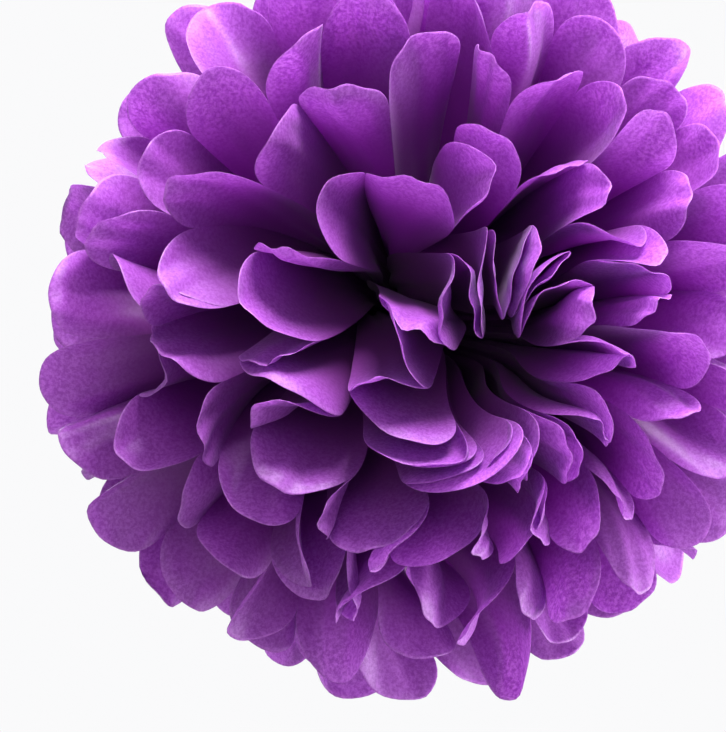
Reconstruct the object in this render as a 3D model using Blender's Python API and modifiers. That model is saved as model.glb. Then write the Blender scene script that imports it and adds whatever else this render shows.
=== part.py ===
"""A tissue paper pom pom, opened into a ball and hung by the eye of its tie wire.

Sheets of tissue lie on each other, are pleated together into a strip along X, cut round at both ends and
bound at the middle with a wire. Each half of the strip opens into a half fan, and the sheets are then
pulled apart, half of them towards the front pole (-Y) and half towards the back pole (+Y).
Lengths are in metres, angles in radians. The origin is the middle of the wire's eye.
"""

import math
import random

import bmesh
import bpy
import numpy as np
from mathutils import Vector

# Paper
SHEETS = 10
PANELS = 14
PLEAT_WIDTH = 0.034
HALF_STRIP = 0.152
ROUND_END = 0.023
PAPER = 0.0004

# How the paper is gathered and opened
POLE_ANGLE = math.radians(12)
GATHER_PITCH = 0.0012
BUNDLE_RADIUS = 0.008
NECK_HALF = 0.0020
BEND_LENGTH = 0.014
PLEAT_SPREAD = 0.055
AXIS_CLEARANCE = 0.004
LEAST_POLAR = math.radians(8)
ROOT_SLIT = math.radians(4)
SEAM_GAP = 0.0012
FLATTEST_PLEAT = 0.012

# How far single petals stray from the even ball
STRAY_SEED = 10
PAIR_PULL = math.radians(7.5)
CREASE_PULL = math.radians(2)
LEAN_KEPT = 0.5
CALM_AT_POLES = 0.35
SEAM_STRAY = math.radians(3)
NARROWEST_PETAL = 0.010
LENGTH_STRAY = 0.005
CUP = 0.005
CURL = 0.010
ROLL = 0.006
TIP_BEND = 0.009
CURL_START = 0.055
TIP_START = 0.112

# How the petals round the poles turn and lean over each other
SETTLE_START = 0.050
SETTLE_REACH = 0.055
FRONT_SWIRL = math.radians(40)
BACK_SWIRL = math.radians(-30)
SWIRL_UNEVEN = 0.6
SWIRL_PHASE = 1
FRONT_LEAN = (0.016, -0.010)
BACK_LEAN = (0.010, 0.008)

# Rows of the flat sheet, measured from its middle
ROOT_ROW = 0.028
LOBE_ROW = 0.118

# Wire
WIRE = 0.0008
WIRE_GAP = 0.0003
EYE_RADIUS = 0.0020
TWIST_LENGTH = 0.008
TAIL_LENGTH = 0.006
TWIST_PITCH = 0.0035
POINTS_A_TURN = 8

LOOP_RADIUS = BUNDLE_RADIUS + WIRE_GAP + WIRE / 2
STRAND_RADIUS = (WIRE + WIRE_GAP) / 2
BALL_CENTRE = Vector((0, 0, -EYE_RADIUS - TWIST_LENGTH - LOOP_RADIUS))

PURPLE = (0.22, 0.04, 0.36, 1)
STEEL = (0.45, 0.45, 0.46, 1)


def material(name, colour, roughness, metallic):
    made = bpy.data.materials.new(name)
    made.use_nodes = True
    made.diffuse_color = colour
    shader = made.node_tree.nodes["Principled BSDF"]
    shader.inputs["Base Color"].default_value = colour
    shader.inputs["Roughness"].default_value = roughness
    shader.inputs["Metallic"].default_value = metallic
    return made


def smooth_step(low, high, value):
    share = np.clip((value - low) / (high - low), 0, 1)
    return share * share * (3 - 2 * share)


def sheet_polar(sheet):
    """The angle between the front pole and a sheet's middle line, before any stray."""
    return POLE_ANGLE + sheet * (math.pi - 2 * POLE_ANGLE) / (SHEETS - 1)


def all_strays():
    """The offsets that make every petal its own, as a list of two fans for each sheet, +X then -X.

    A fan is a row of (polar, azimuth) for each crease and one of (length, cup, curl, roll, tip) for each
    petal. Polar offsets come in pairs of creases, which splits a sheet into petals that stand forward, lie
    flat, stand back or fold deep. They drift from one sheet to the next, so that neighbours lean together.
    Azimuths follow from them, for petals that keep their width. The two fans of a sheet share their seams.
    """
    draw = random.Random(STRAY_SEED)
    lean = {side: np.zeros(PANELS + 1) for side in (1, -1)}
    even = np.arange(PANELS + 1)
    sheets = []
    for sheet in range(SHEETS):
        from_pole = math.sin(sheet_polar(sheet))
        calm = CALM_AT_POLES + (1 - CALM_AT_POLES) * from_pole
        depth = pleat_depth(HALF_STRIP * from_pole, math.pi / 2 - sheet_polar(sheet), HALF_STRIP)
        seams = [draw.uniform(-SEAM_STRAY, SEAM_STRAY) for _ in range(2)]
        fans = []
        for side in (1, -1):
            shift = draw.randrange(2)
            pulls = np.array([draw.uniform(-PAIR_PULL, PAIR_PULL) for _ in range(PANELS // 2 + 2)])
            change = np.array([draw.uniform(-CREASE_PULL, CREASE_PULL) for _ in range(PANELS + 1)])
            lean[side] = LEAN_KEPT * lean[side] + pulls[(even + shift) // 2] + change
            strays = lean[side] * calm
            off = depth * (-1) ** even + HALF_STRIP * strays
            widths = np.sqrt(np.maximum(PLEAT_WIDTH**2 - np.diff(off) ** 2, NARROWEST_PETAL**2))
            widths *= PANELS / widths.sum()
            azimuths = (np.concatenate(([0], np.cumsum(widths))) - even) * math.pi / PANELS
            azimuths += side * (seams[0] + (seams[1] - seams[0]) * even / PANELS)
            petals = [
                (
                    draw.uniform(-LENGTH_STRAY, LENGTH_STRAY),
                    draw.uniform(-CUP, CUP) * calm,
                    draw.uniform(-CURL, CURL) * calm,
                    draw.uniform(-ROLL, ROLL) * calm,
                    draw.uniform(-TIP_BEND, TIP_BEND) * calm,
                )
                for _ in range(PANELS)
            ]
            fans.append((np.stack((strays, azimuths), axis=-1), np.array(petals)))
        sheets.append(fans)
    return sheets


def rib(lift, run):
    """A sheet's middle line in the half plane through the poles' axis, as (radius, height, slope)."""
    bend = np.minimum(run, BEND_LENGTH)
    slope = lift * bend / BEND_LENGTH
    turn_radius = BEND_LENGTH / lift
    straight = run - bend
    radius = turn_radius * np.sin(slope) + straight * np.cos(slope)
    height = turn_radius * (1 - np.cos(slope)) + straight * np.sin(slope)
    return radius, height, slope


def pleat_depth(radius, slope, run):
    """How far a crease stands off the middle line, for panels that keep their width as the fan opens."""
    spacing = radius * math.pi / PANELS
    full = np.sqrt(np.maximum(PLEAT_WIDTH**2 - spacing**2, FLATTEST_PLEAT**2)) / 2
    depth = full * (1 - np.exp(-run / PLEAT_SPREAD))
    room = (radius - AXIS_CLEARANCE) / np.maximum(np.abs(np.sin(slope)), 0.01)
    return np.maximum(np.minimum(depth, room), 0)


def crease_points(sheet, fan, side, crease, run):
    """Points of the creases, for arrays of crease numbers and of distances along them."""
    polar_stray, azimuth_stray = fan[0][crease].T
    reach = (run / HALF_STRIP) ** 2
    polar = np.clip(sheet_polar(sheet) + polar_stray * reach, LEAST_POLAR, math.pi - LEAST_POLAR)
    across = 2 * crease / PANELS - 1
    azimuth = across * (math.pi / 2 - ROOT_SLIT * (1 - reach)) + azimuth_stray * reach
    radius, height, slope = rib(math.pi / 2 - polar, run)
    stand_off = pleat_depth(radius, slope, run) * (-1) ** crease
    radius = radius + stand_off * np.sin(slope)
    height = height - stand_off * np.cos(slope)
    gather = (sheet - (SHEETS - 1) / 2) * GATHER_PITCH
    neck_width = math.sqrt(BUNDLE_RADIUS**2 - gather**2)
    closing = np.clip((run - ROOT_ROW) / (LOBE_ROW - ROOT_ROW), 0, 1)
    apart = NECK_HALF + (SEAM_GAP / 2 - NECK_HALF) * closing
    base = across * neck_width * (1 - np.minimum(run / LOBE_ROW, 1))
    return np.stack(
        (
            side * (apart + radius * np.cos(azimuth)),
            gather - height,
            base + radius * np.sin(azimuth),
        ),
        axis=-1,
    )


def unit(vectors):
    return vectors / np.maximum(np.linalg.norm(vectors, axis=-1, keepdims=True), 1e-9)


def settled(points):
    """The same points after the petals round both poles have turned and leaned over each other."""
    x, y, z = points.T
    front = y < 0
    high = smooth_step(SETTLE_START, HALF_STRIP, np.abs(y))
    near = high * np.exp(-((np.hypot(x, z) / SETTLE_REACH) ** 2))
    uneven = 1 + SWIRL_UNEVEN * np.sin(2 * np.arctan2(z, x) + SWIRL_PHASE)
    turn = np.where(front, FRONT_SWIRL, BACK_SWIRL) * near * uneven
    turned_x = x * np.cos(turn) - z * np.sin(turn) + np.where(front, FRONT_LEAN[0], BACK_LEAN[0]) * near
    turned_z = x * np.sin(turn) + z * np.cos(turn) + np.where(front, FRONT_LEAN[1], BACK_LEAN[1]) * near
    return np.stack((turned_x, y, turned_z), axis=-1)


def folded(sheet, fans, across, along):
    """Where points of the flat sheet lie in the ball, for arrays of their places across and along it."""
    panel = np.minimum((across / PLEAT_WIDTH + 1e-6).astype(int), PANELS - 1)
    middle = 2 * (across / PLEAT_WIDTH - panel) - 1
    points = np.empty((len(across), 3))
    for fan, side in zip(fans, (1, -1), strict=True):
        here = along * side > 0
        run = np.maximum(np.abs(along[here]) - NECK_HALF, 0)
        first = crease_points(sheet, fan, side, panel[here], run)
        second = crease_points(sheet, fan, side, panel[here] + 1, run)
        before = crease_points(sheet, fan, side, panel[here], run * 0.98)
        normal = unit(np.cross(second - first, first - before))
        cup, curl, roll, tip = fan[1][panel[here], 1:].T
        loose = smooth_step(CURL_START, HALF_STRIP, run)
        outer = smooth_step(TIP_START, HALF_STRIP, run)
        offset = cup * (run / HALF_STRIP) ** 2 + curl * loose**2 + tip * outer**2
        offset += 2 * roll * middle[here] * loose
        share = (1 + middle[here, None]) / 2
        bow = offset * (1 - middle[here] ** 2)
        points[here] = settled(first + (second - first) * share + normal * bow[:, None])
    return points + BALL_CENTRE


def at_an_end(vertex):
    return abs(abs(vertex.co.y) - HALF_STRIP) < 1e-6


def flat_sheet(fans):
    """The sheet before folding, with a row of rounded ends along both edges."""
    half = [NECK_HALF, ROOT_ROW, LOBE_ROW, HALF_STRIP]
    rows = [-distance for distance in reversed(half)] + half
    paper = bmesh.new()
    bmesh.ops.create_grid(paper, x_segments=2 * PANELS, y_segments=len(rows) - 1, size=0.5)
    for vertex in paper.verts:
        row = round((vertex.co.y + 0.5) * (len(rows) - 1))
        vertex.co.x = (vertex.co.x + 0.5) * PANELS * PLEAT_WIDTH
        vertex.co.y = rows[row]
    ends = [edge for edge in paper.edges if all(at_an_end(vertex) for vertex in edge.verts)]
    bmesh.ops.subdivide_edges(paper, edges=ends, cuts=1)
    for vertex in filter(at_an_end, paper.verts):
        side = 1 if vertex.co.y > 0 else -1
        panel = min(int(vertex.co.x / PLEAT_WIDTH + 1e-6), PANELS - 1)
        share = vertex.co.x / PLEAT_WIDTH - panel
        rounding = math.sqrt(max(1 - (2 * share - 1) ** 2, 0))
        stray = fans[0 if side > 0 else 1][1][panel, 0]
        vertex.co.y = side * (HALF_STRIP - ROUND_END + (ROUND_END + stray) * rounding)
    bmesh.ops.triangulate(paper, faces=paper.faces[:])
    return paper


def tissue_sheet(sheet, fans, tissue, parts):
    paper = flat_sheet(fans)
    flat = np.array([vertex.co for vertex in paper.verts])
    for vertex, point in zip(paper.verts, folded(sheet, fans, flat[:, 0], flat[:, 1]), strict=True):
        vertex.co = point
    name = f"sheet_{sheet + 1:02d}"
    mesh = bpy.data.meshes.new(name)
    paper.to_mesh(mesh)
    paper.free()
    mesh.materials.append(tissue)
    folded_sheet = bpy.data.objects.new(name, mesh)
    parts.objects.link(folded_sheet)
    wall = folded_sheet.modifiers.new("paper thickness", "SOLIDIFY")
    wall.solidify_mode = "NON_MANIFOLD"
    wall.nonmanifold_thickness_mode = "FIXED"
    wall.thickness = PAPER
    wall.offset = 0


def twist(start, length):
    """One strand of the twisted wire as points, from start upwards along Z, in a whole number of turns."""
    turns = max(round(length / TWIST_PITCH), 1)
    count = turns * POINTS_A_TURN
    points = []
    for step in range(count + 1):
        angle = 2 * math.pi * turns * step / count
        points.append(
            Vector(
                (
                    STRAND_RADIUS * math.sin(angle),
                    STRAND_RADIUS * math.cos(angle),
                    start + length * step / count,
                )
            )
        )
    return points


def wire_path():
    """Half of the wire, from the snipped end below the bundle up to the top of the eye."""
    below = BALL_CENTRE.z - LOOP_RADIUS
    above = BALL_CENTRE.z + LOOP_RADIUS
    narrow = math.asin(STRAND_RADIUS / LOOP_RADIUS)
    around = [
        Vector((0, LOOP_RADIUS * math.sin(angle), BALL_CENTRE.z - LOOP_RADIUS * math.cos(angle)))
        for angle in [narrow + (math.pi - 2 * narrow) * step / 10 for step in range(1, 10)]
    ]
    eye = [
        Vector((0, EYE_RADIUS * math.sin(angle), -EYE_RADIUS * math.cos(angle)))
        for angle in [math.pi * (0.25 + 0.75 * step / 5) for step in range(6)]
    ]
    tail = twist(below - TAIL_LENGTH, TAIL_LENGTH)
    neck = twist(above, TWIST_LENGTH - EYE_RADIUS / 2)
    return tail + around + neck + eye


def tie_wire(steel, parts):
    half = wire_path()
    other = [Vector((-point.x, -point.y, point.z)) for point in half]
    points = half + other[-2::-1]
    curve = bpy.data.curves.new("tie_wire", "CURVE")
    curve.dimensions = "3D"
    curve.bevel_depth = WIRE / 2
    curve.bevel_resolution = 2
    curve.use_fill_caps = True
    spline = curve.splines.new("POLY")
    spline.points.add(len(points) - 1)
    for target, point in zip(spline.points, points, strict=True):
        target.co = (*point, 1)
    curve.materials.append(steel)
    parts.objects.link(bpy.data.objects.new("tie_wire", curve))


def main():
    for leftover in list(bpy.data.objects):
        bpy.data.objects.remove(leftover)
    parts = bpy.data.collections.new("tissue_paper_pom_pom")
    bpy.context.scene.collection.children.link(parts)
    tissue = material("tissue", PURPLE, 0.8, 0)
    steel = material("wire", STEEL, 0.4, 1)
    for sheet, fans in enumerate(all_strays()):
        tissue_sheet(sheet, fans, tissue, parts)
    tie_wire(steel, parts)


main()
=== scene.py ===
"""Looks of the tissue paper pom pom: fine folded sheets, the twisted tie wire, light and camera.

Every sheet is drawn flat as a grid, folded along the same creases as its solid, and then given what a
light hand gives the paper: bowed petals, curled tips, ruffled edges and wrinkles. Lengths are in metres.
"""

import math
import random

import bmesh
import bpy
import numpy as np
from mathutils import Matrix, Vector


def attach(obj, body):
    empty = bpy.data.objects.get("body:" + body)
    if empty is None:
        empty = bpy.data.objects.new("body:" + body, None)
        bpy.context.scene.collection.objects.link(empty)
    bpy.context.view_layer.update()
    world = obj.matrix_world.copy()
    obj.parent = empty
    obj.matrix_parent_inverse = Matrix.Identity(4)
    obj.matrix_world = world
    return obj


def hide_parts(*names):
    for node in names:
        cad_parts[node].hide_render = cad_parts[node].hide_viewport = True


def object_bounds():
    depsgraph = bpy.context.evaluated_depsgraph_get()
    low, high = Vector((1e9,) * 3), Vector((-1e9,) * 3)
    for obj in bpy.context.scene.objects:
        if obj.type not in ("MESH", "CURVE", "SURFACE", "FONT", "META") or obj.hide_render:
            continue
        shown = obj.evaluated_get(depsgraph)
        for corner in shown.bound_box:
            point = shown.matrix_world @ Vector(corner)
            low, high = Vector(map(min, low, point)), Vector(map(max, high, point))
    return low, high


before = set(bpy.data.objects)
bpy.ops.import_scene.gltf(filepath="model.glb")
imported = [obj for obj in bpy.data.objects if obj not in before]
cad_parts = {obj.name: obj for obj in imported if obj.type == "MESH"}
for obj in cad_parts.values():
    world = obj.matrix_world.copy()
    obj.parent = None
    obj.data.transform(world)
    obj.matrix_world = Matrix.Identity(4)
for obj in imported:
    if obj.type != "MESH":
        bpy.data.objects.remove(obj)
cad_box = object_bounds()

# The photograph's frame and where the ball lies in it, in its pixels
PHOTO_WIDTH = 726
PHOTO_HEIGHT = 732
BALL_IN_PHOTO = (415, 318)
BALL_RADIUS_IN_PHOTO = 378

# Camera, with its sensor in millimetres
BALL_RADIUS = 0.150
CAMERA_AZIMUTH = math.radians(-10)
CAMERA_ELEVATION = math.radians(5)
CAMERA_DISTANCE = 1.6
SENSOR = 36

# Paper
SHEETS = 10
PANELS = 14
PLEAT_WIDTH = 0.034
HALF_STRIP = 0.152
ROUND_END = 0.023
PAPER = 0.00012

# How the paper is gathered and opened
POLE_ANGLE = math.radians(12)
GATHER_PITCH = 0.0012
BUNDLE_RADIUS = 0.008
NECK_HALF = 0.0020
BEND_LENGTH = 0.014
PLEAT_SPREAD = 0.055
AXIS_CLEARANCE = 0.004
LEAST_POLAR = math.radians(8)
LEAST_SINE = 0.01
ROOT_SLIT = math.radians(4)
SEAM_GAP = 0.0012
FLATTEST_PLEAT = 0.012
ROOT_ROW = 0.028
LOBE_ROW = 0.118

# How far single petals stray from the even ball
STRAY_SEED = 10
PAIR_PULL = math.radians(7.5)
CREASE_PULL = math.radians(2)
LEAN_KEPT = 0.5
CALM_AT_POLES = 0.35
SEAM_STRAY = math.radians(3)
NARROWEST_PETAL = 0.010
LENGTH_STRAY = 0.005
CUP = 0.005
CURL = 0.010
ROLL = 0.006
TIP_BEND = 0.009
CURL_START = 0.055
TIP_START = 0.112

# How the petals round the poles turn and lean over each other
SETTLE_START = 0.050
SETTLE_REACH = 0.055
FRONT_SWIRL = math.radians(40)
BACK_SWIRL = math.radians(-30)
SWIRL_UNEVEN = 0.6
SWIRL_PHASE = 1
FRONT_LEAN = (0.016, -0.010)
BACK_LEAN = (0.010, 0.008)

# How the petals along the seam between the two fans lean to and fro across it
SEAM_SWING = 0.007
SEAM_REACH = 0.030
SWING_BY_DEPTH = 60
SWING_BY_HEIGHT = 63

# The flat grid of a petal: columns, rows below its lobe, rows in its lobe, which crowd to the cut edge
COLUMNS = 24
INNER_ROWS = 9
LOBE_ROWS = 16
LOBE_START = 0.085
ROW_CROWDING = 1.4

# A petal's direction at a point is read from this share of the way to it
LOOK_BACK = 0.98

# Fine shape of a petal, with waves counted across its width
FINE_SEED = 500
SEEDS_A_SHEET = 10
FULLER = 0.0025
RUFFLE = 0.0008
RUFFLE_WAVES = 2.6
WRINKLE = 0.0004
WRINKLE_ACROSS = 9
WRINKLE_BEND = 2.1
WAVE_ALONG = 0.02
GATHERS = 0.0018
GATHERS_END = 0.100
GATHER_WAVES = 3
LIP = 0.0016
LIP_REACH = 0.0035
LEAST_LIP = 0.4
MOST_LIP = 1.4

# Dye of the paper and colour of the light through it, plain and where its fibres are thin, with a painted
# shade darkening the folds by the tie and a painted highlight paling the cut rims
PAINTED_ROOT_SHADE = (0.27, 0.025, 0.34)
PLAIN_DYE = (0.40, 0.068, 0.52)
BRIGHT_DYE = (0.52, 0.130, 0.69)
PAINTED_RIM_HIGHLIGHT = (0.80, 0.42, 0.92)
PLAIN_GLOW = (0.48, 0.11, 0.61)
BRIGHT_GLOW = (0.67, 0.21, 0.80)
PLAIN_SPECK = (0.55, 0.19, 0.69)
BRIGHT_SPECK = (0.85, 0.47, 0.95)

# Where along a petal the painted shade by the tie ends and the specks begin, and how strong each effect is,
# the painted rim highlight among them
ROOT_SHADE_START = 0.092
ROOT_SHADE_END = 0.155
SPECKS_START = 0.112
SPECKS_FULL = 0.150
SPECKS_SHARE = 0.85
RIM_HIGHLIGHT_WIDTH = 0.0055
RIM_HIGHLIGHT_SHARE = 0.16
LIGHT_THROUGH = 0.50

# How many grains of fibre or zinc there are to a metre
FIBRE_SCALE = 720
ZINC_SCALE = 1400

# Wire
WIRE = 0.0008
WIRE_GAP = 0.0003
EYE_RADIUS = 0.0020
TWIST_LENGTH = 0.008
LOOP_RADIUS = BUNDLE_RADIUS + WIRE_GAP + WIRE / 2
BALL_CENTRE = np.array((0, 0, -EYE_RADIUS - TWIST_LENGTH - LOOP_RADIUS))
DULL_ZINC = (0.38, 0.38, 0.41)
RUBBED_ZINC = (0.66, 0.66, 0.67)

# Backdrop and floor
BACKDROP = (0.955, 0.955, 0.965, 1)
FLOOR_GREY = (0.4, 0.4, 0.4, 1)
FLOOR_BELOW_BALL = 0.9
HALF_FLOOR = 6

# Lamps: name, place, size across and power
LAMPS = (
    ("overhead softbox", (0.25, -0.5, 1.5), 0.8, 72),
    ("low side light", (1.4, -0.2, -0.5), 1.0, 38),
    ("front fill", (-0.8, -1.7, 0.5), 1.0, 3),
    ("back light", (0.2, 1.5, 1.0), 2.4, 85),
)
SOFT_LIGHT = 0.50


def smooth_step(low, high, value):
    """0 below low, 1 above high, and smooth between them."""
    share = np.clip((value - low) / (high - low), 0, 1)
    return share * share * (3 - 2 * share)


# Sheets


def sheet_polar(sheet):
    """The angle between the front pole and a sheet's middle line, before any stray."""
    return POLE_ANGLE + sheet * (math.pi - 2 * POLE_ANGLE) / (SHEETS - 1)


def all_strays():
    """The offsets that make every petal its own, as a list of two fans for each sheet, +X then -X.

    A fan is a row of (polar, azimuth) for each crease and one of (length, cup, curl, roll, tip) for each
    petal. Polar offsets come in pairs of creases, which splits a sheet into petals that stand forward, lie
    flat, stand back or fold deep. They drift from one sheet to the next, so that neighbours lean together.
    Azimuths follow from them, for petals that keep their width. The two fans of a sheet share their seams.
    """
    draw = random.Random(STRAY_SEED)
    lean = {side: np.zeros(PANELS + 1) for side in (1, -1)}
    even = np.arange(PANELS + 1)
    sheets = []
    for sheet in range(SHEETS):
        from_pole = math.sin(sheet_polar(sheet))
        calm = CALM_AT_POLES + (1 - CALM_AT_POLES) * from_pole
        depth = pleat_depth(HALF_STRIP * from_pole, math.pi / 2 - sheet_polar(sheet), HALF_STRIP)
        seams = [draw.uniform(-SEAM_STRAY, SEAM_STRAY) for _ in range(2)]
        fans = []
        for side in (1, -1):
            shift = draw.randrange(2)
            pulls = np.array([draw.uniform(-PAIR_PULL, PAIR_PULL) for _ in range(PANELS // 2 + 2)])
            change = np.array([draw.uniform(-CREASE_PULL, CREASE_PULL) for _ in range(PANELS + 1)])
            lean[side] = LEAN_KEPT * lean[side] + pulls[(even + shift) // 2] + change
            strays = lean[side] * calm
            off = depth * (-1) ** even + HALF_STRIP * strays
            widths = np.sqrt(np.maximum(PLEAT_WIDTH**2 - np.diff(off) ** 2, NARROWEST_PETAL**2))
            widths *= PANELS / widths.sum()
            azimuths = (np.concatenate(([0], np.cumsum(widths))) - even) * math.pi / PANELS
            azimuths += side * (seams[0] + (seams[1] - seams[0]) * even / PANELS)
            petals = [
                (
                    draw.uniform(-LENGTH_STRAY, LENGTH_STRAY),
                    draw.uniform(-CUP, CUP) * calm,
                    draw.uniform(-CURL, CURL) * calm,
                    draw.uniform(-ROLL, ROLL) * calm,
                    draw.uniform(-TIP_BEND, TIP_BEND) * calm,
                )
                for _ in range(PANELS)
            ]
            fans.append((np.stack((strays, azimuths), axis=-1), np.array(petals)))
        sheets.append(fans)
    return sheets


def rib(lift, run):
    """A sheet's middle line in the half plane through the poles' axis, as (radius, height, slope)."""
    bend = np.minimum(run, BEND_LENGTH)
    slope = lift * bend / BEND_LENGTH
    turn_radius = BEND_LENGTH / lift
    straight = run - bend
    radius = turn_radius * np.sin(slope) + straight * np.cos(slope)
    height = turn_radius * (1 - np.cos(slope)) + straight * np.sin(slope)
    return radius, height, slope


def pleat_depth(radius, slope, run):
    """How far a crease stands off the middle line, for panels that keep their width as the fan opens."""
    spacing = radius * math.pi / PANELS
    full = np.sqrt(np.maximum(PLEAT_WIDTH**2 - spacing**2, FLATTEST_PLEAT**2)) / 2
    depth = full * (1 - np.exp(-run / PLEAT_SPREAD))
    room = (radius - AXIS_CLEARANCE) / np.maximum(np.abs(np.sin(slope)), LEAST_SINE)
    return np.maximum(np.minimum(depth, room), 0)


def crease_points(sheet, fan, side, crease, run):
    """Points of the creases, for arrays of crease numbers and of distances along them."""
    polar_stray, azimuth_stray = fan[0][crease].T
    reach = (run / HALF_STRIP) ** 2
    polar = np.clip(sheet_polar(sheet) + polar_stray * reach, LEAST_POLAR, math.pi - LEAST_POLAR)
    across = 2 * crease / PANELS - 1
    azimuth = across * (math.pi / 2 - ROOT_SLIT * (1 - reach)) + azimuth_stray * reach
    radius, height, slope = rib(math.pi / 2 - polar, run)
    stand_off = pleat_depth(radius, slope, run) * (-1) ** crease
    radius = radius + stand_off * np.sin(slope)
    height = height - stand_off * np.cos(slope)
    gather = (sheet - (SHEETS - 1) / 2) * GATHER_PITCH
    neck_width = math.sqrt(BUNDLE_RADIUS**2 - gather**2)
    closing = np.clip((run - ROOT_ROW) / (LOBE_ROW - ROOT_ROW), 0, 1)
    apart = NECK_HALF + (SEAM_GAP / 2 - NECK_HALF) * closing
    base = across * neck_width * (1 - np.minimum(run / LOBE_ROW, 1))
    return np.stack(
        (
            side * (apart + radius * np.cos(azimuth)),
            gather - height,
            base + radius * np.sin(azimuth),
        ),
        axis=-1,
    )


def unit(vectors):
    """The same vectors, each of length 1."""
    return vectors / np.maximum(np.linalg.norm(vectors, axis=-1, keepdims=True), 1e-9)


def settled(points):
    """The same points after the petals have turned and leaned over each other, at the poles and the seam."""
    x, y, z = points.T
    from_tie = np.sqrt(x**2 + y**2 + z**2)
    swing = SEAM_SWING * np.exp(-((x / SEAM_REACH) ** 2)) * smooth_step(BEND_LENGTH, SETTLE_START, from_tie)
    x = x + swing * np.sin(SWING_BY_DEPTH * y + SWING_BY_HEIGHT * z)
    front = y < 0
    high = smooth_step(SETTLE_START, HALF_STRIP, np.abs(y))
    near = high * np.exp(-((np.hypot(x, z) / SETTLE_REACH) ** 2))
    uneven = 1 + SWIRL_UNEVEN * np.sin(2 * np.arctan2(z, x) + SWIRL_PHASE)
    turn = np.where(front, FRONT_SWIRL, BACK_SWIRL) * near * uneven
    turned_x = x * np.cos(turn) - z * np.sin(turn) + np.where(front, FRONT_LEAN[0], BACK_LEAN[0]) * near
    turned_z = x * np.sin(turn) + z * np.cos(turn) + np.where(front, FRONT_LEAN[1], BACK_LEAN[1]) * near
    return np.stack((turned_x, y, turned_z), axis=-1)


def folded(sheet, fans, side, panel, share, run, rim):
    """Where points of the flat sheet lie in the ball.

    Each point has its panel, its share of the way across it, its run out from the tie and how far it is
    from the cut edge, all as arrays.
    """
    fan = fans[0 if side > 0 else 1]
    first = crease_points(sheet, fan, side, panel, run)
    second = crease_points(sheet, fan, side, panel + 1, run)
    before = crease_points(sheet, fan, side, panel, run * LOOK_BACK)
    normal = unit(np.cross(second - first, first - before))
    points = first + (second - first) * share[:, None]
    cup, curl, roll, tip = fan[1][panel, 1:].T
    cup = cup + FULLER * np.sign(cup)
    middle = 2 * share - 1
    bow = 1 - middle**2
    loose = smooth_step(CURL_START, HALF_STRIP, run)
    outer = smooth_step(TIP_START, HALF_STRIP, run)
    offset = cup * (run / HALF_STRIP) ** 2 + curl * loose**2 + tip * outer**2 + 2 * roll * middle * loose
    draw = np.random.default_rng(FINE_SEED + SEEDS_A_SHEET * sheet + (side > 0))
    phase = draw.uniform(0, 2 * math.pi, (PANELS, 2))
    along = run / WAVE_ALONG
    offset += RUFFLE * np.sin(RUFFLE_WAVES * math.pi * middle + phase[panel, 0] + along) * outer
    wrinkled = WRINKLE_ACROSS * middle + WRINKLE_BEND * np.sin(along + phase[panel, 1])
    offset += WRINKLE * np.sin(wrinkled) * loose
    gathered = smooth_step(0, BEND_LENGTH, run) * (1 - smooth_step(BEND_LENGTH, GATHERS_END, run))
    offset += GATHERS * np.sin(GATHER_WAVES * math.pi * middle + phase[panel, 1]) * gathered
    lip = draw.uniform(LEAST_LIP, MOST_LIP, PANELS) ** 2 * draw.choice((-1, 1), PANELS)
    offset += LIP * lip[panel] * np.exp(-((rim / LIP_REACH) ** 2))
    return settled(points + normal * (offset * bow)[:, None])


def sheet_grid(sheet, fans):
    """One sheet: a grid with a row of rounded ends along both edges, folded into its place in the ball.

    Its UV map is the flat paper, and its attribute rim is how far each point is from the cut edge.
    """
    rows_a_side = INNER_ROWS + LOBE_ROWS
    columns = PANELS * COLUMNS
    rows = 2 * rows_a_side + 1
    paper = bmesh.new()
    bmesh.ops.create_grid(paper, x_segments=columns, y_segments=rows, size=0.5)
    mesh = bpy.data.meshes.new(f"sheet_{sheet + 1:02d}_paper")
    paper.to_mesh(mesh)
    paper.free()
    flat = np.empty(len(mesh.vertices) * 3)
    mesh.vertices.foreach_get("co", flat)
    flat = flat.reshape(-1, 3)
    column = np.rint((flat[:, 0] + 0.5) * columns).astype(int)
    row = np.rint((flat[:, 1] + 0.5) * rows).astype(int)
    panel = np.minimum(column // COLUMNS, PANELS - 1)
    step = column - panel * COLUMNS
    share = (1 - np.cos(math.pi * step / COLUMNS)) / 2
    upper = row > rows_a_side
    count = np.where(upper, row - rows_a_side - 1, rows_a_side - row)
    inner = np.minimum(count / INNER_ROWS, 1)
    outer = np.clip((count - INNER_ROWS) / LOBE_ROWS, 0, 1)
    crowded = 1 - (1 - outer) ** ROW_CROWDING
    rounding = np.sqrt(np.maximum(1 - (2 * share - 1) ** 2, 0))
    run = np.empty(len(flat))
    rim = np.empty(len(flat))
    points = np.empty((len(flat), 3))
    for side, here in ((1, upper), (-1, ~upper)):
        length_stray = fans[0 if side > 0 else 1][1][panel[here], 0]
        reach = HALF_STRIP - NECK_HALF - ROUND_END + (ROUND_END + length_stray) * rounding[here]
        run[here] = LOBE_START * inner[here] + (reach - LOBE_START) * crowded[here]
        rim[here] = reach - run[here]
        points[here] = folded(sheet, fans, side, panel[here], share[here], run[here], rim[here])
    mesh.vertices.foreach_set("co", (points + BALL_CENTRE).ravel())
    layer = mesh.uv_layers.new(name="paper")
    corner = np.empty(len(mesh.loops), dtype=int)
    mesh.loops.foreach_get("vertex_index", corner)
    across = (panel + share) * PLEAT_WIDTH
    along = np.where(upper, run, -run)
    layer.uv.foreach_set("vector", np.stack((across[corner], along[corner]), axis=-1).ravel())
    mesh.attributes.new("rim", "FLOAT", "POINT").data.foreach_set("value", rim)
    mesh.update()
    return mesh


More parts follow.
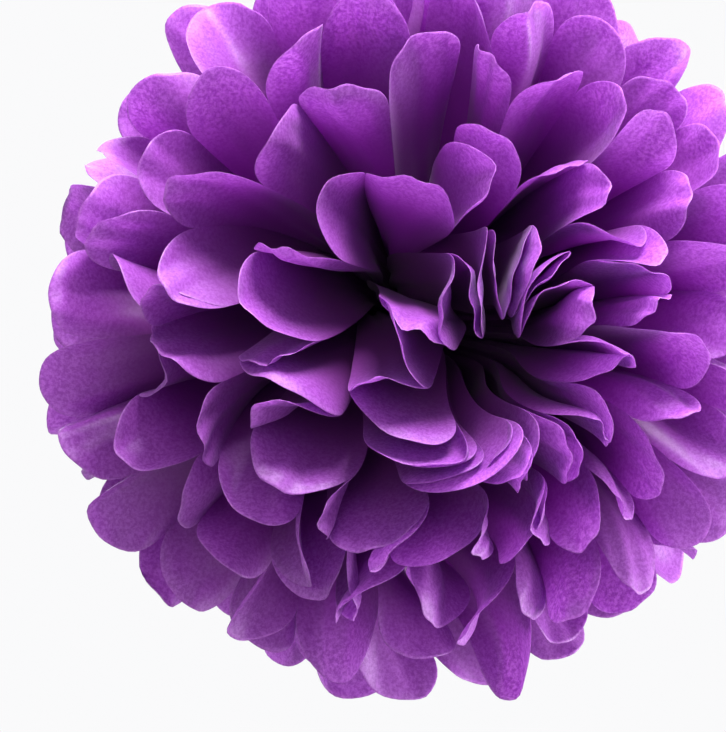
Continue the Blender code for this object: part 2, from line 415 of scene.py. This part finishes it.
def tissue_sheet(sheet, fans, tissue):
    """One sheet of paper with its thickness and finish, in the place of its solid."""
    mesh = sheet_grid(sheet, fans)
    mesh.materials.append(tissue)
    mesh.shade_smooth()
    piece = bpy.data.objects.new(mesh.name, mesh)
    bpy.context.scene.collection.objects.link(piece)
    wall = piece.modifiers.new("paper thickness", "SOLIDIFY")
    wall.thickness = PAPER
    wall.offset = 0
    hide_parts(f"sheet_{sheet + 1:02d}")
    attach(piece, "root")


# Materials


def ramp(nodes, links, values, low, low_colour, high, high_colour):
    """A colour that follows a value from one place on the scale to another."""
    shades = nodes.new("ShaderNodeValToRGB")
    stops = shades.color_ramp.elements
    stops[0].position = low
    stops[0].color = (*low_colour, 1)
    stops[1].position = high
    stops[1].color = (*high_colour, 1)
    links.new(values, shades.inputs["Fac"])
    return shades.outputs["Color"]


def fade(nodes, links, values, start, end, at_start, at_end):
    """A number that goes smoothly from one value to another as its input goes from start to end."""
    spread = nodes.new("ShaderNodeMapRange")
    spread.interpolation_type = "SMOOTHSTEP"
    spread.inputs["From Min"].default_value = start
    spread.inputs["From Max"].default_value = end
    spread.inputs["To Min"].default_value = at_start
    spread.inputs["To Max"].default_value = at_end
    links.new(values, spread.inputs["Value"])
    return spread.outputs["Result"]


def blended(nodes, links, share, first, second):
    """Two colours mixed by a share; each is a socket or a plain colour."""
    mix = nodes.new("ShaderNodeMix")
    mix.data_type = "RGBA"
    links.new(share, mix.inputs["Factor"])
    for name, colour in (("A", first), ("B", second)):
        if isinstance(colour, tuple):
            mix.inputs[name].default_value = (*colour, 1)
        else:
            links.new(colour, mix.inputs[name])
    return mix.outputs["Result"]


def grain_noise(nodes, links, scale, detail):
    """A fine noise over the piece's own place in space."""
    coordinates = nodes.new("ShaderNodeTexCoord")
    noise = nodes.new("ShaderNodeTexNoise")
    noise.inputs["Scale"].default_value = scale
    noise.inputs["Detail"].default_value = detail
    links.new(coordinates.outputs["Object"], noise.inputs["Vector"])
    return noise


def bumpy(nodes, links, heights, strength, distance, shader):
    """Lets the grain stand up a little from the surface."""
    bump = nodes.new("ShaderNodeBump")
    bump.inputs["Strength"].default_value = strength
    bump.inputs["Distance"].default_value = distance
    links.new(heights, bump.inputs["Height"])
    links.new(bump.outputs["Normal"], shader.inputs["Normal"])


def tissue_material():
    """Thin dyed tissue: soft fibres, painted shade darkening the folds by the tie, a painted highlight along
    the cut rims, light through it.
    """
    made = bpy.data.materials.new("purple tissue")
    made.use_nodes = True
    nodes = made.node_tree.nodes
    links = made.node_tree.links
    shader = nodes["Principled BSDF"]
    fibres = grain_noise(nodes, links, FIBRE_SCALE, 5)
    fibres.inputs["Roughness"].default_value = 0.7
    grain = fibres.outputs["Fac"]
    place = nodes.new("ShaderNodeUVMap")
    place.uv_map = "paper"
    split = nodes.new("ShaderNodeSeparateXYZ")
    links.new(place.outputs["UV"], split.inputs["Vector"])
    absolute = nodes.new("ShaderNodeMath")
    absolute.operation = "ABSOLUTE"
    links.new(split.outputs["Y"], absolute.inputs[0])
    from_tie = absolute.outputs[0]
    rim = nodes.new("ShaderNodeAttribute")
    rim.attribute_name = "rim"

    base_colour = ramp(nodes, links, grain, 0.35, PLAIN_DYE, 0.65, BRIGHT_DYE)
    # Painted shade: the colour darkens towards the tie, where the folds lie in shade
    deep = fade(nodes, links, from_tie, ROOT_SHADE_START, ROOT_SHADE_END, 1, 0)
    base_colour = blended(nodes, links, deep, base_colour, PAINTED_ROOT_SHADE)
    # Painted highlight: the colour turns paler along the cut rim, where light catches the petal tips
    pale = fade(nodes, links, rim.outputs["Fac"], 0, RIM_HIGHLIGHT_WIDTH, RIM_HIGHLIGHT_SHARE, 0)
    base_colour = blended(nodes, links, pale, base_colour, PAINTED_RIM_HIGHLIGHT)
    links.new(base_colour, shader.inputs["Base Color"])
    shader.inputs["Roughness"].default_value = 0.5
    shader.inputs["Specular IOR Level"].default_value = 0.95
    shader.inputs["Sheen Weight"].default_value = 0.12
    shader.inputs["Sheen Roughness"].default_value = 0.5
    bumpy(nodes, links, grain, 0.2, 0.0005, shader)

    glow = ramp(nodes, links, grain, 0.36, PLAIN_GLOW, 0.64, BRIGHT_GLOW)
    # The painted shade by the tie darkens the light through the paper as well
    glow = blended(nodes, links, deep, glow, PAINTED_ROOT_SHADE)
    specks = ramp(nodes, links, grain, 0.41, PLAIN_SPECK, 0.59, BRIGHT_SPECK)
    airy = fade(nodes, links, from_tie, SPECKS_START, SPECKS_FULL, 0, SPECKS_SHARE)
    glow = blended(nodes, links, airy, glow, specks)
    through = nodes.new("ShaderNodeBsdfTranslucent")
    links.new(glow, through.inputs["Color"])
    mix = nodes.new("ShaderNodeMixShader")
    mix.inputs["Fac"].default_value = LIGHT_THROUGH
    links.new(shader.outputs["BSDF"], mix.inputs[1])
    links.new(through.outputs["BSDF"], mix.inputs[2])
    links.new(mix.outputs["Shader"], nodes["Material Output"].inputs["Surface"])
    return made


def wire_material():
    """Galvanised florist's wire: dull zinc with a fine grain and small brighter rubs."""
    made = bpy.data.materials.new("galvanised tie wire")
    made.use_nodes = True
    nodes = made.node_tree.nodes
    links = made.node_tree.links
    shader = nodes["Principled BSDF"]
    grain = grain_noise(nodes, links, ZINC_SCALE, 4).outputs["Fac"]
    colour = ramp(nodes, links, grain, 0.35, DULL_ZINC, 0.65, RUBBED_ZINC)
    links.new(colour, shader.inputs["Base Color"])
    links.new(fade(nodes, links, grain, 0.35, 0.65, 0.52, 0.30), shader.inputs["Roughness"])
    shader.inputs["Metallic"].default_value = 1
    bumpy(nodes, links, grain, 0.15, 0.0001, shader)
    return made


# Light, camera and backdrop


def camera():
    """Looks at the ball's centre so that the ball lies in the frame where the photograph has it."""
    data = bpy.data.cameras.new("camera")
    eye = bpy.data.objects.new("camera", data)
    bpy.context.scene.collection.objects.link(eye)
    towards = Vector(
        (
            -math.sin(CAMERA_AZIMUTH) * math.cos(CAMERA_ELEVATION),
            math.cos(CAMERA_AZIMUTH) * math.cos(CAMERA_ELEVATION),
            -math.sin(CAMERA_ELEVATION),
        )
    )
    right = Vector((math.cos(CAMERA_AZIMUTH), math.sin(CAMERA_AZIMUTH), 0))
    up = right.cross(towards)
    seen_angle = math.asin(BALL_RADIUS / CAMERA_DISTANCE)
    focal_pixels = BALL_RADIUS_IN_PHOTO / math.tan(seen_angle)
    off_right = (PHOTO_WIDTH / 2 - BALL_IN_PHOTO[0]) / focal_pixels
    off_up = (BALL_IN_PHOTO[1] - PHOTO_HEIGHT / 2) / focal_pixels
    aim = (towards + right * off_right + up * off_up).normalized()
    eye.location = Vector(BALL_CENTRE) - towards * CAMERA_DISTANCE
    side = aim.cross(up).normalized()
    top = side.cross(aim)
    eye.rotation_euler = Matrix((side, top, -aim)).transposed().to_euler()
    data.sensor_fit = "HORIZONTAL" if PHOTO_WIDTH >= PHOTO_HEIGHT else "VERTICAL"
    data.sensor_width = SENSOR
    data.sensor_height = SENSOR
    data.lens = SENSOR * focal_pixels / max(PHOTO_WIDTH, PHOTO_HEIGHT)
    bpy.context.scene.camera = eye


def lamp(name, place, size, power):
    """A round soft lamp that shines at the ball's centre."""
    data = bpy.data.lights.new(name, "AREA")
    data.shape = "DISK"
    data.size = size
    data.energy = power
    lit = bpy.data.objects.new(name, data)
    bpy.context.scene.collection.objects.link(lit)
    lit.location = place
    lit.rotation_euler = (Vector(BALL_CENTRE) - Vector(place)).to_track_quat("-Z", "Y").to_euler()


def seen_or_mirrored(nodes, links):
    """1 for what the camera sees straight or mirrored in metal, 0 for what only gives light."""
    path = nodes.new("ShaderNodeLightPath")
    either = nodes.new("ShaderNodeMath")
    either.operation = "MAXIMUM"
    links.new(path.outputs["Is Camera Ray"], either.inputs[0])
    links.new(path.outputs["Is Glossy Ray"], either.inputs[1])
    return either.outputs[0]


def white_world():
    """Soft light from all sides, seen as the plain pale backdrop."""
    world = bpy.data.worlds.new("studio")
    bpy.context.scene.world = world
    world.use_nodes = True
    nodes = world.node_tree.nodes
    links = world.node_tree.links
    soft = nodes["Background"]
    soft.inputs["Color"].default_value = (1, 1, 1, 1)
    soft.inputs["Strength"].default_value = SOFT_LIGHT
    seen = nodes.new("ShaderNodeBackground")
    seen.inputs["Color"].default_value = BACKDROP
    mix = nodes.new("ShaderNodeMixShader")
    links.new(seen_or_mirrored(nodes, links), mix.inputs["Fac"])
    links.new(soft.outputs["Background"], mix.inputs[1])
    links.new(seen.outputs["Background"], mix.inputs[2])
    links.new(mix.outputs["Shader"], nodes["World Output"].inputs["Surface"])


def pale_floor():
    """A plain floor under the hung ball, of the backdrop's colour where it is seen."""
    made = bpy.data.materials.new("pale floor")
    made.use_nodes = True
    nodes = made.node_tree.nodes
    links = made.node_tree.links
    matt = nodes["Principled BSDF"]
    matt.inputs["Base Color"].default_value = FLOOR_GREY
    matt.inputs["Roughness"].default_value = 0.9
    seen = nodes.new("ShaderNodeEmission")
    seen.inputs["Color"].default_value = BACKDROP
    mix = nodes.new("ShaderNodeMixShader")
    links.new(seen_or_mirrored(nodes, links), mix.inputs["Fac"])
    links.new(matt.outputs["BSDF"], mix.inputs[1])
    links.new(seen.outputs["Emission"], mix.inputs[2])
    links.new(mix.outputs["Shader"], nodes["Material Output"].inputs["Surface"])
    sheet = bmesh.new()
    bmesh.ops.create_grid(sheet, x_segments=1, y_segments=1, size=HALF_FLOOR)
    bmesh.ops.translate(sheet, verts=sheet.verts, vec=(0, 0, cad_box[0][2] - FLOOR_BELOW_BALL))
    mesh = bpy.data.meshes.new("floor")
    sheet.to_mesh(mesh)
    sheet.free()
    mesh.materials.append(made)
    floor = bpy.data.objects.new("floor", mesh)
    bpy.context.scene.collection.objects.link(floor)


tissue = tissue_material()
for number, sheet_fans in enumerate(all_strays()):
    tissue_sheet(number, sheet_fans, tissue)
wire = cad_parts["tie_wire"]
wire.data.materials.clear()
wire.data.materials.append(wire_material())
camera()
white_world()
pale_floor()
for name, place, size, power in LAMPS:
    lamp(name, place, size, power)
bpy.context.scene.view_settings.view_transform = "Standard"
